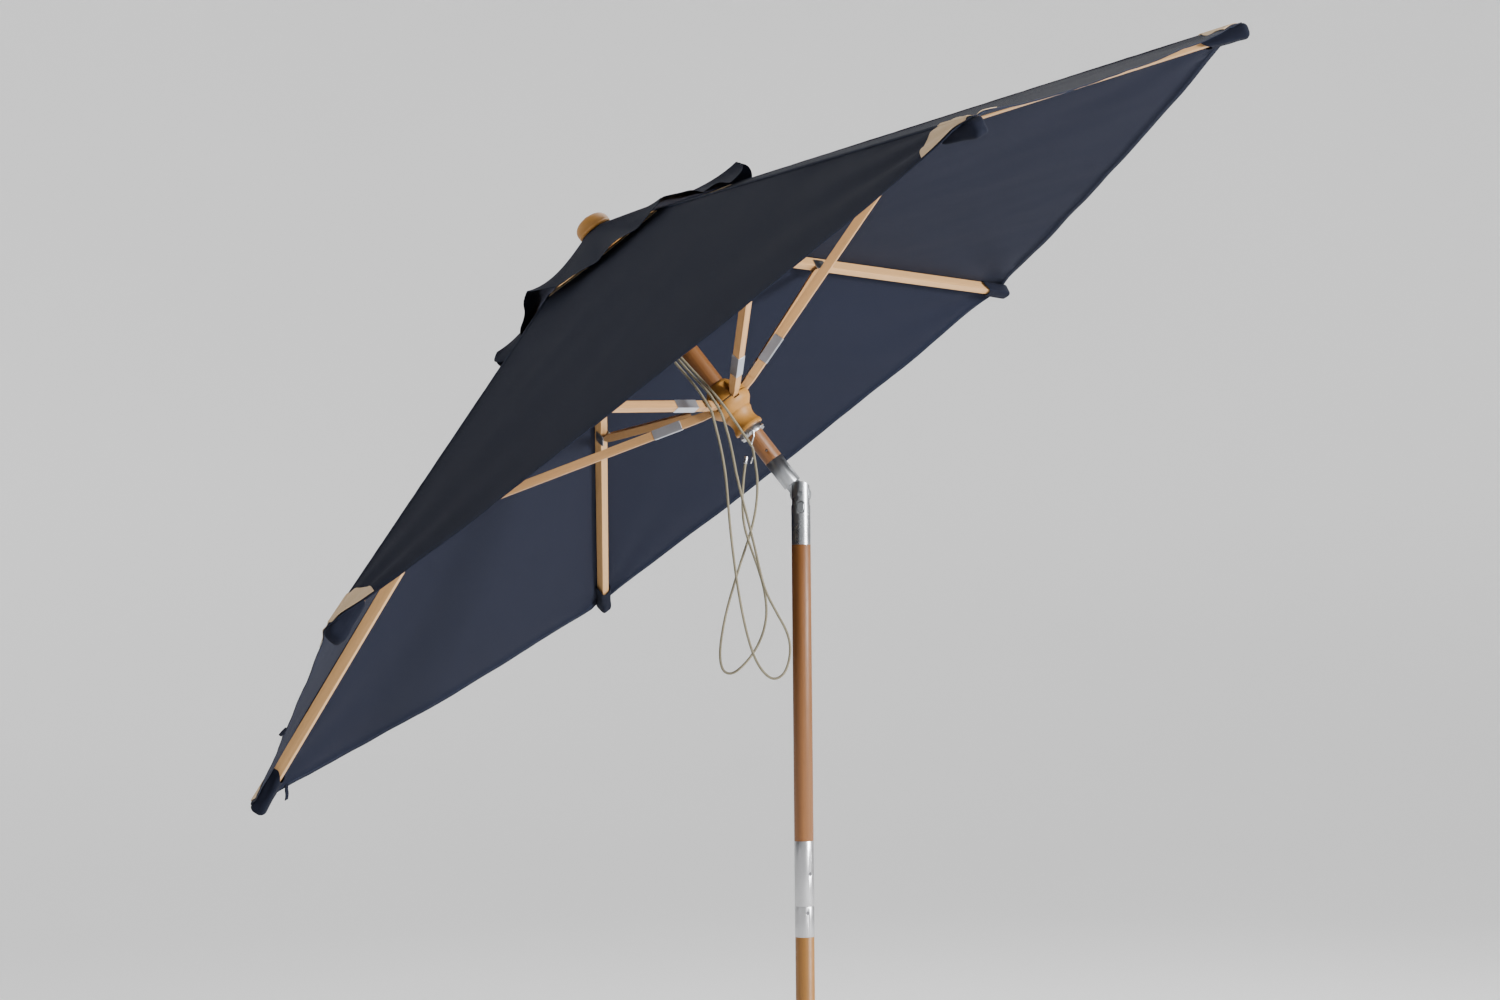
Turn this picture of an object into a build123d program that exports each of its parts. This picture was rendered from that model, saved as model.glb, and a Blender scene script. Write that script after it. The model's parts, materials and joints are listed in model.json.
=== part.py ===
from build123d import *
import os
from math import atan2, cos, hypot, pi, radians, sin, tan

# Tilting garden parasol on a two-piece wooden pole, open, with its head leaning over.
# Millimetres, +Z up. The origin is the centre of the pole's foot.

# ---- driving dimensions ----
POLE_R = 19.0            # the upper sections and the ferrules are 38 mm across
FOOT_POLE_R = 18.7       # the lower pole is a hair thinner than its ferrule
TENON_R = 17.3           # pole ends turned down to fit inside the metal tubes
PIVOT_H = 1750.0         # tilt hinge above the foot
TILT_DEG = 37.2          # lean of the head towards -X
SPOKES = 6
SPOKE_TURN = -3.84       # first rib, turned from the lean plane

FORK_BOTTOM = -100.0     # heights from the tilt hinge down the upright pole
MID_POLE_BOTTOM = -677.0
FERRULE_JOINT = -802.5
LOWER_POLE_TOP = -861.0
MID_TENON_BOTTOM = -750.0
SPIGOT_TOP, SPIGOT_BOTTOM = -755.0, -830.0

KNUCKLE_TOP = 87.0       # distances from the tilt hinge along the head's axis
STOP_HOLE_H, STOP_HOLE_R = 109.0, 2.6
RUNNER_PIVOT_H = 236.0
CROWN_PIVOT_H = 650.0
CROWN_BOTTOM, CROWN_TOP = 626.0, 666.0
PULLEY_H = 584.0

RUNNER_PIVOT_R = 38.0
CROWN_PIVOT_R = 34.0
RIB_WIDE, RIB_DEEP = 18.0, 22.0
STRUT_WIDE, STRUT_DEEP = 15.0, 17.0
RIB_TIP_R, RIB_TIP_H = 1252.0, 180.0
STRUT_JOINT_ALONG = 616.0   # strut joint, measured along the rib from its pivot
STRUT_JOINT_BELOW = 15.5    # and below the rib's centre line
CLOTH = 1.0
CLOTH_ABOVE_RIB = 14.6      # cloth's inner face above the rib's centre line
CORD_R = 2.5
GAP = 0.4                   # running gap between pieces that move
CLEAR = 30.0                # a cut reaches this far past whatever it goes through

os.makedirs("parts", exist_ok=True)

# ---- frames ----
TILT = radians(TILT_DEG)
PIVOT = Vector(0, 0, PIVOT_H)
U = Vector(cos(TILT), 0, sin(TILT))      # across the head, away from the lean
V = Vector(0, 1, 0)
A = Vector(-sin(TILT), 0, cos(TILT))     # up the head's axis
HEAD = Plane(origin=PIVOT, x_dir=U, z_dir=A)
HEAD_SIDE = Plane(origin=PIVOT, x_dir=U, z_dir=-V)
UPRIGHT = Plane(origin=PIVOT)
UPRIGHT_SIDE = Plane(origin=PIVOT, x_dir=(1, 0, 0), z_dir=(0, -1, 0))


def head_point(u, v, h):
    """A point given across, towards the back and up the leaning head."""
    return PIVOT + U * u + V * v + A * h


def spoke_angle(number):
    return radians(SPOKE_TURN + 360 / SPOKES * number)


def spoke_plane(angle):
    """Radial plane through the head's axis: x runs outwards, y up the axis."""
    out = U * cos(angle) + V * sin(angle)
    return Plane(origin=PIVOT, x_dir=out, z_dir=out.cross(A))


def save(part, name):
    part.label = name
    export_step(part, f"parts/{name}.step")


def turned(points, side):
    """Solid of revolution from an outline of (radius, height) points."""
    with BuildPart() as piece:
        with BuildSketch(side):
            with BuildLine():
                Polyline(*points, close=True)
            make_face()
        revolve(axis=Axis(side.origin, side.y_dir))
    return piece


# ---- lower pole, its ferrule and the coupling spigot (stand still) ----
FOOT = -PIVOT_H
lower_pole = turned(
    [(0, FOOT), (FOOT_POLE_R, FOOT), (FOOT_POLE_R, LOWER_POLE_TOP),
     (TENON_R, LOWER_POLE_TOP), (TENON_R, SPIGOT_BOTTOM), (0, SPIGOT_BOTTOM)],
    UPRIGHT_SIDE,
)
SCREW_R, SCREW_HEAD_R = 2.0, 3.6
HEAD_SUNK, HEAD_THICK = 0.3, 1.0
CROSS_LONG, CROSS_WIDE, CROSS_DEEP = 4.6, 0.8, 0.6
LOWER_SCREW_H, LOWER_SCREW_TURN = -814.6, 23.0
UPPER_SCREW_H, UPPER_SCREW_TURN = -740.0, 42.0


def screw_plane(height, turn):
    """Tangent plane on the pole's surface, facing out, turned from the front towards +X."""
    out = Vector(sin(radians(turn)), -cos(radians(turn)), 0)
    return Plane(origin=PIVOT + out * POLE_R + Vector(0, 0, height), x_dir=(0, 0, 1), z_dir=out)


def ferrule_screw(name, height, turn, into):
    """Countersunk screw, its head flush with the ferrule."""
    seat = screw_plane(height, turn)
    with BuildPart() as screw:
        with BuildSketch(seat.offset(-HEAD_SUNK)):
            Circle(SCREW_HEAD_R)
        extrude(amount=-HEAD_THICK)
        with BuildSketch(seat.offset(-HEAD_SUNK - HEAD_THICK)):
            Circle(SCREW_R)
        extrude(amount=-into)
        with BuildSketch(seat.offset(-HEAD_SUNK)):
            Rectangle(CROSS_LONG, CROSS_WIDE)
            Rectangle(CROSS_WIDE, CROSS_LONG)
        extrude(amount=-CROSS_DEEP, mode=Mode.SUBTRACT)
    save(screw.part, name)


def screw_hole(height, turn, into):
    """Clears a ferrule screw out of the piece being built."""
    seat = screw_plane(height, turn)
    with BuildSketch(seat.offset(CLEAR)) as sink:
        Circle(SCREW_HEAD_R)
    extrude(sink.sketch, amount=-CLEAR - HEAD_SUNK - HEAD_THICK, mode=Mode.SUBTRACT)
    with BuildSketch(seat.offset(-HEAD_SUNK - HEAD_THICK)) as shank:
        Circle(SCREW_R)
    extrude(shank.sketch, amount=-into, mode=Mode.SUBTRACT)


LOWER_SCREW_INTO, UPPER_SCREW_INTO = 4.0, 12.0
save(lower_pole.part, "lower_pole")

with BuildPart() as lower_ferrule:
    with BuildSketch(UPRIGHT.offset(LOWER_POLE_TOP)):
        Circle(POLE_R)
        Circle(TENON_R, mode=Mode.SUBTRACT)
    extrude(amount=FERRULE_JOINT - LOWER_POLE_TOP)
    screw_hole(LOWER_SCREW_H, LOWER_SCREW_TURN, LOWER_SCREW_INTO)
save(lower_ferrule.part, "lower_ferrule")

with BuildPart() as coupling_spigot:
    with BuildSketch(UPRIGHT.offset(SPIGOT_BOTTOM)):
        Circle(TENON_R - 0.05)
        Circle(TENON_R - 3, mode=Mode.SUBTRACT)
    extrude(amount=SPIGOT_TOP - SPIGOT_BOTTOM)
    chamfer(coupling_spigot.edges().group_by(Axis.Z)[-1].sort_by(SortBy.RADIUS)[-1], 1.2)
    screw_hole(LOWER_SCREW_H, LOWER_SCREW_TURN, LOWER_SCREW_INTO)
save(coupling_spigot.part, "coupling_spigot")
ferrule_screw("lower_ferrule_screw", LOWER_SCREW_H, LOWER_SCREW_TURN, LOWER_SCREW_INTO)

# ---- middle pole with its ferrule and the tilt fork ----
FORK_FLOOR = -22.0
CHEEK_IN = 8.0
CHEEK_TOP_R = 25.0
TILT_PIN_R = 4.0
BUTTON_H, BUTTON_WIDE, BUTTON_TALL = -26.0, 14.0, 22.0
BUTTON_DEEP = 9.5           # the pocket's floor, from the front of the fork
DISH_WIDE, DISH_TALL, DISH_DEEP = 21.0, 27.0, 2.2   # shallow hollow round the button
RIVET_R, RIVET_SINK_R, RIVET_SEAT, RIVET_THICK = 5.6, 6.2, 18.0, 1.6
WOOD_IN_FORK = -58.0

with BuildPart() as mid_pole:
    with BuildSketch(UPRIGHT_SIDE):
        with BuildLine():
            Polyline(
                (0, MID_TENON_BOTTOM), (TENON_R, MID_TENON_BOTTOM),
                (TENON_R, MID_POLE_BOTTOM), (POLE_R, MID_POLE_BOTTOM),
                (POLE_R, FORK_BOTTOM), (TENON_R, FORK_BOTTOM),
                (TENON_R, WOOD_IN_FORK), (0, WOOD_IN_FORK), close=True,
            )
        make_face()
    revolve(axis=Axis(PIVOT, (0, 0, 1)))
    screw_hole(UPPER_SCREW_H, UPPER_SCREW_TURN, UPPER_SCREW_INTO)
save(mid_pole.part, "mid_pole")

with BuildPart() as upper_ferrule:
    with BuildSketch(UPRIGHT.offset(FERRULE_JOINT)):
        Circle(POLE_R)
        Circle(TENON_R, mode=Mode.SUBTRACT)
    extrude(amount=MID_POLE_BOTTOM - FERRULE_JOINT)
    screw_hole(UPPER_SCREW_H, UPPER_SCREW_TURN, UPPER_SCREW_INTO)
save(upper_ferrule.part, "upper_ferrule")
ferrule_screw("upper_ferrule_screw", UPPER_SCREW_H, UPPER_SCREW_TURN, UPPER_SCREW_INTO)

SIDE_R = 19.0
with BuildPart() as tilt_fork:
    with BuildSketch(UPRIGHT.offset(FORK_BOTTOM)):
        Circle(SIDE_R)
    extrude(amount=CHEEK_TOP_R - FORK_BOTTOM)
    with BuildSketch(UPRIGHT_SIDE):
        corner = (CHEEK_TOP_R**2 - SIDE_R**2) ** 0.5
        with BuildLine():
            Line((-CLEAR, 2 * CLEAR), (-CLEAR, corner))
            Line((-CLEAR, corner), (-SIDE_R, corner))
            ThreePointArc((-SIDE_R, corner), (0, CHEEK_TOP_R), (SIDE_R, corner))
            Line((SIDE_R, corner), (CLEAR, corner))
            Line((CLEAR, corner), (CLEAR, 2 * CLEAR))
            Line((CLEAR, 2 * CLEAR), (-CLEAR, 2 * CLEAR))
        make_face()
    extrude(amount=CLEAR, both=True, mode=Mode.SUBTRACT)
    with BuildSketch(UPRIGHT.offset(FORK_FLOOR)):
        Rectangle(2 * CLEAR, 2 * CHEEK_IN)
    extrude(amount=2 * CLEAR, mode=Mode.SUBTRACT)
    with BuildSketch(UPRIGHT.offset(FORK_BOTTOM)):
        Circle(TENON_R)
    extrude(amount=WOOD_IN_FORK - FORK_BOTTOM, mode=Mode.SUBTRACT)
    with BuildSketch(UPRIGHT_SIDE):
        Circle(TILT_PIN_R)
    extrude(amount=CLEAR, both=True, mode=Mode.SUBTRACT)
    for face in (1, -1):
        with BuildSketch(UPRIGHT_SIDE.offset(face * RIVET_SEAT)):
            Circle(RIVET_SINK_R)
        extrude(amount=face * CLEAR, mode=Mode.SUBTRACT)
    with BuildSketch(UPRIGHT_SIDE.offset(SIDE_R - BUTTON_DEEP)):
        with Locations((0, BUTTON_H)):
            SlotOverall(BUTTON_TALL + 2 * GAP, BUTTON_WIDE + 2 * GAP, rotation=90)
    extrude(amount=CLEAR, mode=Mode.SUBTRACT)
    with BuildSketch(UPRIGHT_SIDE.offset(SIDE_R - DISH_DEEP)):
        with Locations((0, BUTTON_H)):
            SlotOverall(DISH_TALL, DISH_WIDE, rotation=90)
    extrude(amount=CLEAR, mode=Mode.SUBTRACT)
save(tilt_fork.part, "tilt_fork")

with BuildPart() as tilt_pin:
    with BuildSketch(UPRIGHT_SIDE):
        Circle(TILT_PIN_R)
    extrude(amount=RIVET_SEAT, both=True)
    for face in (1, -1):
        with BuildSketch(UPRIGHT_SIDE.offset(face * RIVET_SEAT)):
            Circle(RIVET_R)
        extrude(amount=face * RIVET_THICK)
    fillet(tilt_pin.edges().group_by(Axis.Y)[0], 0.8)
    fillet(tilt_pin.edges().group_by(Axis.Y)[-1], 0.8)
save(tilt_pin.part, "tilt_pin")

BUTTON_FACE = 18.4
BUTTON_THICK = 5.0
SPRING_R, SPRING_WALL = 4.0, 0.8
with BuildPart() as tilt_button:
    with BuildSketch(UPRIGHT_SIDE.offset(BUTTON_FACE)):
        with Locations((0, BUTTON_H)):
            SlotOverall(BUTTON_TALL, BUTTON_WIDE, rotation=90)
    extrude(amount=-BUTTON_THICK)
    fillet(tilt_button.edges().group_by(Axis.Y)[0], 1.4)
save(tilt_button.part, "tilt_button")

with BuildPart() as button_spring:
    with BuildSketch(UPRIGHT_SIDE.offset(SIDE_R - BUTTON_DEEP)):
        with Locations((0, BUTTON_H)):
            Circle(SPRING_R)
            Circle(SPRING_R - SPRING_WALL, mode=Mode.SUBTRACT)
    extrude(amount=BUTTON_FACE - BUTTON_THICK - SIDE_R + BUTTON_DEEP)
save(button_spring.part, "button_spring")

# ---- head: knuckle, upper pole, crown, finial ----
KNUCKLE_DISC_R = 21.0
TONGUE_WIDE = 15.2
WOOD_IN_KNUCKLE = 45.0
KNUCKLE_TUBE_FROM = 26.5

with BuildPart() as tilt_knuckle:
    with BuildSketch(HEAD.offset(KNUCKLE_TUBE_FROM)):
        Circle(SIDE_R)
    extrude(amount=KNUCKLE_TOP - KNUCKLE_TUBE_FROM)
    with BuildSketch(HEAD.offset(WOOD_IN_KNUCKLE)):
        Circle(TENON_R)
    extrude(amount=KNUCKLE_TOP - WOOD_IN_KNUCKLE, mode=Mode.SUBTRACT)
    with BuildSketch(HEAD_SIDE):
        Circle(KNUCKLE_DISC_R)
        with Locations((0, KNUCKLE_TUBE_FROM / 2 + 1)):
            Rectangle(30, KNUCKLE_TUBE_FROM + 2)
    extrude(amount=TONGUE_WIDE / 2, both=True)
    with BuildSketch(HEAD_SIDE):
        Circle(TILT_PIN_R + 0.05)
    extrude(amount=TONGUE_WIDE, both=True, mode=Mode.SUBTRACT)
save(tilt_knuckle.part, "tilt_knuckle")

PULLEY_U = -27.0            # the cord's plane, just clear of the pole on the leaning side
BLOCK_TOP, BLOCK_BOTTOM = PULLEY_H + 20, PULLEY_H - 16
with BuildPart() as upper_pole:
    with BuildSketch(HEAD_SIDE):
        with BuildLine():
            Polyline(
                (0, WOOD_IN_KNUCKLE), (TENON_R, WOOD_IN_KNUCKLE), (TENON_R, KNUCKLE_TOP),
                (POLE_R, KNUCKLE_TOP), (POLE_R, CROWN_TOP), (0, CROWN_TOP), close=True,
            )
        make_face()
    revolve(axis=Axis(PIVOT, A))
    with BuildSketch(HEAD_SIDE):
        with Locations((0, STOP_HOLE_H)):
            Circle(STOP_HOLE_R)
    extrude(amount=CLEAR, both=True, mode=Mode.SUBTRACT)
save(upper_pole.part, "upper_pole")

WIRE_R = 1.0
HUB_SLOT = STRUT_WIDE - 2 + 2 * GAP + 0.2   # both hubs take a 13 mm tongue
TONGUE = STRUT_WIDE - 2


def wire_ring(radius, height):
    with BuildPart() as ring:
        with BuildSketch(HEAD_SIDE):
            with Locations((radius, height)):
                Circle(WIRE_R)
        revolve(axis=Axis(PIVOT, A))
    return ring


def hub_cuts(wire_radius, wire_height, inner, bottom, top):
    """Cuts the six slots and the wire's groove out of the hub being built."""
    with BuildSketch(HEAD_SIDE) as groove:
        with Locations((wire_radius + 20 - 1.5, wire_height)):
            Rectangle(40, 2 * WIRE_R + 1)
    revolve(groove.sketch, axis=Axis(PIVOT, A), mode=Mode.SUBTRACT)
    for number in range(SPOKES):
        with BuildSketch(spoke_plane(spoke_angle(number))) as slot:
            with Locations(((inner + 90) / 2, (bottom + top) / 2)):
                Rectangle(90 - inner, top - bottom)
        extrude(slot.sketch, amount=HUB_SLOT / 2, both=True, mode=Mode.SUBTRACT)


CROWN_R = 46.0
with BuildPart() as crown:
    with BuildSketch(HEAD_SIDE):
        with BuildLine():
            Polyline(
                (POLE_R, CROWN_BOTTOM), (30, CROWN_BOTTOM), (CROWN_R - 4, CROWN_BOTTOM + 8),
                (CROWN_R, CROWN_BOTTOM + 16), (CROWN_R, CROWN_TOP - 9),
                (CROWN_R - 6, CROWN_TOP - 1), (CROWN_R - 8, CROWN_TOP), (POLE_R, CROWN_TOP),
                close=True,
            )
        make_face()
    revolve(axis=Axis(PIVOT, A))
    hub_cuts(CROWN_PIVOT_R, CROWN_PIVOT_H, 22.5, CROWN_BOTTOM - 5, CROWN_TOP + 5)
save(crown.part, "crown")
crown_wire = wire_ring(CROWN_PIVOT_R, CROWN_PIVOT_H)
save(crown_wire.part, "crown_wire")

CAP_TOP = 672.0
with BuildPart() as finial:
    with BuildSketch(HEAD_SIDE):
        with BuildLine():
            Line((0, CAP_TOP), (35, CAP_TOP))
            Line((35, CAP_TOP), (36.5, CAP_TOP + 3))
            Line((36.5, CAP_TOP + 3), (36, CAP_TOP + 6))
            Spline((36, CAP_TOP + 6), (33.5, CAP_TOP + 20), (24, CAP_TOP + 28), (5.5, CAP_TOP + 30))
            Line((5.5, CAP_TOP + 30), (5, CAP_TOP + 34))
            Line((5, CAP_TOP + 34), (0, CAP_TOP + 34.5))
            Line((0, CAP_TOP + 34.5), (0, CAP_TOP))
        make_face()
    revolve(axis=Axis(PIVOT, A))
save(finial.part, "finial")

# ---- pulley block under the crown, on the leaning side ----
WHEEL_R, WHEEL_GROOVE_R, WHEEL_WIDE = 13.0, 9.6, 7.4
AXLE_R = 2.0
PULLEY_PLANE = Plane(origin=head_point(PULLEY_U, 0, PULLEY_H), x_dir=V, z_dir=U)
PULLEY_AXIS = Axis(head_point(PULLEY_U, 0, PULLEY_H), U)
PLATE_NEAR, PLATE_FAR, PLATE = 4.2, 6.0, 1.8

with BuildPart() as pulley_wheel:
    with BuildSketch(Plane(origin=PULLEY_PLANE.origin, x_dir=U, z_dir=-V)):
        with BuildLine():
            Polyline(
                (-WHEEL_WIDE / 2, AXLE_R + 0.05), (WHEEL_WIDE / 2, AXLE_R + 0.05),
                (WHEEL_WIDE / 2, WHEEL_R), (3.1, WHEEL_R),
                (2.7, WHEEL_GROOVE_R), (-2.7, WHEEL_GROOVE_R),
                (-3.1, WHEEL_R), (-WHEEL_WIDE / 2, WHEEL_R), close=True,
            )
        make_face()
    revolve(axis=PULLEY_AXIS)
save(pulley_wheel.part, "pulley_wheel")

with BuildPart() as pulley_axle:
    with BuildSketch(PULLEY_PLANE):
        Circle(AXLE_R)
    extrude(amount=PLATE_FAR + 1.2, both=True)
save(pulley_axle.part, "pulley_axle")

with BuildPart() as pulley_block:
    for side in (1, -1):
        with BuildSketch(PULLEY_PLANE.offset(side * PLATE_NEAR)):
            with Locations((0, 2)):
                SlotOverall(44, 14, rotation=90)
            Circle(AXLE_R, mode=Mode.SUBTRACT)
        extrude(amount=side * PLATE)
    for height in (19.0, -16.0):
        with BuildSketch(PULLEY_PLANE.offset(-PLATE_NEAR - PLATE)):
            with Locations((0, height)):
                Circle(2.6)
        extrude(amount=2 * PLATE_NEAR + 2 * PLATE + 3)
    with BuildSketch(HEAD.offset(PULLEY_H - 30)):
        Circle(POLE_R)
    extrude(amount=60, mode=Mode.SUBTRACT)
save(pulley_block.part, "pulley_block")

# ---- runner: turned hub, metal ring, wire ----
RUNNER_BORE = POLE_R + GAP
with BuildPart() as runner:
    with BuildSketch(HEAD_SIDE):
        with BuildLine():
            Line((RUNNER_BORE, 166), (30.6, 166))
            Line((30.6, 166), (30.6, 172.5))
            Spline((30.6, 172.5), (27, 181), (27, 192), (30.8, 202))
            Line((30.8, 202), (30.8, 207))
            Line((30.8, 207), (37, 214))
            Spline((37, 214), (43.6, 224), (44, 242), (36, 259), (22.5, 276))
            Line((22.5, 276), (RUNNER_BORE, 276))
            Line((RUNNER_BORE, 276), (RUNNER_BORE, 166))
        make_face()
    revolve(axis=Axis(PIVOT, A))
    hub_cuts(RUNNER_PIVOT_R, RUNNER_PIVOT_H, 26.0, RUNNER_PIVOT_H - 9, 290)
save(runner.part, "runner")
runner_wire = wire_ring(RUNNER_PIVOT_R, RUNNER_PIVOT_H)
save(runner_wire.part, "runner_wire")

RING_R = 26.0
PEG_H, PEG_R, PEG_FROM = 155.0, 1.6, 24.0
SIDE_PEG, FRONT_PEG = 7.0, 17.0   # the cord's hook hangs on the longer peg in front
with BuildPart() as runner_ring:
    with BuildSketch(HEAD.offset(151.5)):
        Circle(RING_R)
        Circle(RUNNER_BORE, mode=Mode.SUBTRACT)
    extrude(amount=14.5)
    for turn, reach in ((210.0, SIDE_PEG), (270.0, FRONT_PEG), (330.0, SIDE_PEG)):
        out = U * cos(radians(turn)) + V * sin(radians(turn))
        with BuildSketch(Plane(origin=PIVOT + A * PEG_H + out * PEG_FROM, x_dir=A, z_dir=out)):
            Circle(PEG_R)
        extrude(amount=reach)
    with BuildSketch(Plane(origin=head_point(0, -PEG_FROM - FRONT_PEG, PEG_H), x_dir=A, z_dir=-V)):
        Circle(PEG_R + 1)
    extrude(amount=-PEG_R)
save(runner_ring.part, "runner_ring")

# ---- ribs and struts ----
RIB_SLOPE = atan2(CROWN_PIVOT_H - RIB_TIP_H, RIB_TIP_R - CROWN_PIVOT_R)
RIB_LONG = hypot(CROWN_PIVOT_H - RIB_TIP_H, RIB_TIP_R - CROWN_PIVOT_R)
JOINT_R = (CROWN_PIVOT_R + STRUT_JOINT_ALONG * cos(RIB_SLOPE)
           - STRUT_JOINT_BELOW * sin(RIB_SLOPE))
JOINT_H = (CROWN_PIVOT_H - STRUT_JOINT_ALONG * sin(RIB_SLOPE)
           - STRUT_JOINT_BELOW * cos(RIB_SLOPE))
STRUT_SLOPE = atan2(JOINT_H - RUNNER_PIVOT_H, JOINT_R - RUNNER_PIVOT_R)
STRUT_LONG = hypot(JOINT_H - RUNNER_PIVOT_H, JOINT_R - RUNNER_PIVOT_R)
PIN_R, STRUT_EYE_R, STRUT_END_R = 1.6, 2.6, 3.6
HUB_EYE_R = WIRE_R + 1.0
RIB_NECK, STRUT_NECK = 42.0, 26.0
BRACKET_LONG, BRACKET_THICK = 34.0, 1.5
SLEEVE_FROM, SLEEVE_TO, SLEEVE_THICK = 68.0, 128.0, 1.0


def along_plane(angle, radius, height, slope):
    """Radial plane whose x runs down (or up) a bar that starts at a pivot."""
    out = U * cos(angle) + V * sin(angle)
    down = out * cos(slope) - A * sin(slope)
    return Plane(origin=PIVOT + out * radius + A * height, x_dir=down, z_dir=out.cross(A))


for number in range(SPOKES):
    angle = spoke_angle(number)
    letter = "abcdef"[number]
    rib_plane = along_plane(angle, CROWN_PIVOT_R, CROWN_PIVOT_H, RIB_SLOPE)
    strut_plane = along_plane(angle, RUNNER_PIVOT_R, RUNNER_PIVOT_H, -STRUT_SLOPE)

    with BuildPart() as rib:
        with BuildSketch(rib_plane):
            with Locations((RIB_NECK / 2 + RIB_LONG / 2, 0)):
                Rectangle(RIB_LONG - RIB_NECK, RIB_DEEP)
        extrude(amount=RIB_WIDE / 2, both=True)
        with BuildSketch(rib_plane):
            with BuildLine():
                Polyline((0, -6), (RIB_NECK, -RIB_DEEP / 2), (RIB_NECK, RIB_DEEP / 2), (0, 6))
                ThreePointArc((0, 6), (-6, 0), (0, -6))
            make_face()
        extrude(amount=TONGUE / 2, both=True)
        with BuildSketch(rib_plane):
            Circle(HUB_EYE_R)
            with Locations((STRUT_JOINT_ALONG + 8, 0)):
                Circle(PIN_R)
        extrude(amount=RIB_WIDE, both=True, mode=Mode.SUBTRACT)
    save(rib.part, f"rib_{letter}")

    with BuildPart() as bracket:
        for side in (1, -1):
            with BuildSketch(rib_plane.offset(side * RIB_WIDE / 2)):
                with Locations((STRUT_JOINT_ALONG + 2, -7)):
                    RectangleRounded(BRACKET_LONG, 24, 4)
            extrude(amount=side * BRACKET_THICK)
        with BuildSketch(rib_plane):
            with Locations((STRUT_JOINT_ALONG, -STRUT_JOINT_BELOW), (STRUT_JOINT_ALONG + 8, 0)):
                Circle(PIN_R)
        extrude(amount=RIB_WIDE / 2 + BRACKET_THICK + 0.8, both=True)
    save(bracket.part, f"rib_bracket_{letter}")

    with BuildPart() as strut:
        with BuildSketch(strut_plane):
            with BuildLine():
                Polyline(
                    (0, -6), (STRUT_NECK, -STRUT_DEEP / 2),
                    (STRUT_LONG - STRUT_NECK, -STRUT_DEEP / 2), (STRUT_LONG, -STRUT_END_R),
                )
                ThreePointArc((STRUT_LONG, -STRUT_END_R), (STRUT_LONG + STRUT_END_R, 0),
                              (STRUT_LONG, STRUT_END_R))
                Polyline(
                    (STRUT_LONG, STRUT_END_R), (STRUT_LONG - STRUT_NECK, STRUT_DEEP / 2),
                    (STRUT_NECK, STRUT_DEEP / 2), (0, 6),
                )
                ThreePointArc((0, 6), (-6, 0), (0, -6))
            make_face()
        extrude(amount=STRUT_WIDE / 2, both=True)
        with BuildSketch(strut_plane):
            Circle(HUB_EYE_R)
            with Locations((STRUT_LONG, 0)):
                Circle(STRUT_EYE_R)
        extrude(amount=STRUT_WIDE, both=True, mode=Mode.SUBTRACT)
        for side in (1, -1):
            with BuildSketch(strut_plane.offset(side * TONGUE / 2)):
                with Locations((10, 0)):
                    Rectangle(40, 40)
            extrude(amount=side * 5, mode=Mode.SUBTRACT)
    save(strut.part, f"strut_{letter}")

    with BuildPart() as sleeve:
        with BuildSketch(Plane(origin=strut_plane.origin + strut_plane.x_dir * SLEEVE_FROM,
                               x_dir=strut_plane.z_dir, z_dir=strut_plane.x_dir)):
            Rectangle(STRUT_WIDE + 2 * SLEEVE_THICK, STRUT_DEEP + 2 * SLEEVE_THICK)
            Rectangle(STRUT_WIDE, STRUT_DEEP, mode=Mode.SUBTRACT)
        extrude(amount=SLEEVE_TO - SLEEVE_FROM)
    save(sleeve.part, f"strut_sleeve_{letter}")

# ---- canopy: six thin panels between the ribs, and the vent cap ----
HALF_TURN = pi / SPOKES
PANEL_SLOPE = atan2(tan(RIB_SLOPE), cos(HALF_TURN))
APEX_H = CROWN_PIVOT_H + CROWN_PIVOT_R * tan(RIB_SLOPE) + CLOTH_ABOVE_RIB / cos(RIB_SLOPE)
PANEL_IN, CANOPY_R = 260.0, 1257.0   # the vent is the open middle, under the cap
SEAM_GAP = 1.0


def panel_plane(angle, apex_height, slope):
    """Plane of one flat side of a six-sided cone, its x running down the slope."""
    out = U * cos(angle) + V * sin(angle)
    down = out * cos(slope) - A * sin(slope)
    normal = out * sin(slope) + A * cos(slope)
    return Plane(origin=PIVOT + A * apex_height, x_dir=down, z_dir=normal)


def panel_outline(inner, outer):
    """Trapezium between two ribs, in the panel's own slope plane."""
    points = []
    for radius in (inner, outer):
        mid = radius * cos(HALF_TURN)
        half = mid * tan(HALF_TURN) - SEAM_GAP / 2
        points.append((mid / cos(PANEL_SLOPE), half))
    (near, near_half), (far, far_half) = points
    Polyline((near, -near_half), (far, -far_half), (far, far_half), (near, near_half), close=True)


for number in range(SPOKES):
    angle = spoke_angle(number) + HALF_TURN
    letters = "abcdef"[number] + "abcdef"[(number + 1) % SPOKES]
    with BuildPart() as panel:
        with BuildSketch(panel_plane(angle, APEX_H, PANEL_SLOPE)):
            with BuildLine():
                panel_outline(PANEL_IN, CANOPY_R)
            make_face()
        extrude(amount=CLOTH)
    save(panel.part, f"canopy_panel_{letters}")

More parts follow.
